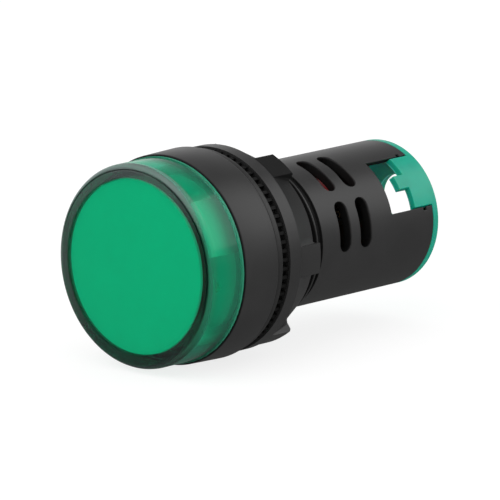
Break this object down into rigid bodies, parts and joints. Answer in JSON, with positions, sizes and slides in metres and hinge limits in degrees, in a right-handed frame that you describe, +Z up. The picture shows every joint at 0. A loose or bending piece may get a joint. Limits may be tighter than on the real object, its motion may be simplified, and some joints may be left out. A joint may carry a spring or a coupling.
{
  "type": "panel pilot light",
  "caption": "Round LED pilot light for a 22 mm panel hole: green lens, black head and threaded barrel, lugged nut, vented body and green terminal cap.",
  "frame": {"origin": "on the axis at the gasket's rear face, where the panel's front surface seats", "axes": "+Y along the barrel, from the panel's front to its back; +Z up; one wire window faces 53.2 degrees from +Z towards +X"},
  "size_m": [0.0296, 0.0524, 0.0296],
  "materials": {
    "black_plastic": "satin moulded",
    "black_rubber": "matte",
    "nut_plastic": "satin moulded",
    "lens_green": "clear polished",
    "diffuser_green": "frosted behind a clear face",
    "white_plastic": "smooth",
    "lamp_board": "solder mask",
    "lamp_green": "clear tinted",
    "tinned_metal": "tinned",
    "circuit_board": "laminate",
    "capacitor_red": "dipped",
    "capacitor_black": "sleeved",
    "component_black": "moulded",
    "resistor_blue": "lacquered",
    "terminal_green": "smooth",
    "plate_brass": "stamped",
    "plated_steel": "nickel plated",
    "cap_green": "smooth"
  },
  "bodies": {
    "housing": {"housing": "black_plastic", "gasket": "black_rubber", "lens_cap": "lens_green", "diffuser_disc": "diffuser_green", "led_carrier": "white_plastic", "led_board": "lamp_board", "leds": "lamp_green", "link_pins": "tinned_metal", "driver_board": "circuit_board", "film_capacitor": "capacitor_red", "electrolytic_capacitor": "capacitor_black", "bridge_rectifier": "component_black", "dropper_resistors": "resistor_blue", "terminal_block": "terminal_green", "contact_plate_1": "plate_brass", "contact_plate_2": "plate_brass"},
    "nut": {"mounting_nut": "nut_plastic"},
    "rear_cap": {"rear_cap": "cap_green"},
    "screw_1": {"terminal_screw_1": "plated_steel", "clamp_washer_1": "plated_steel"},
    "screw_2": {"terminal_screw_2": "plated_steel", "clamp_washer_2": "plated_steel"}
  },
  "joints": [
    {"name": "nut_slide", "type": "slide", "parent": "housing", "child": "nut", "axis": [0, 1, 0], "range_m": [0, 0.04]},
    {"name": "rear_cap_slide", "type": "slide", "parent": "housing", "child": "rear_cap", "axis": [0, 1, 0], "range_m": [0, 0.012]},
    {"name": "terminal_screw_1", "type": "slide", "parent": "housing", "child": "screw_1", "axis": [0, 1, 0], "range_m": [0, 0.0022]},
    {"name": "terminal_screw_2", "type": "slide", "parent": "housing", "child": "screw_2", "axis": [0, 1, 0], "range_m": [0, 0.0022]}
  ]
}
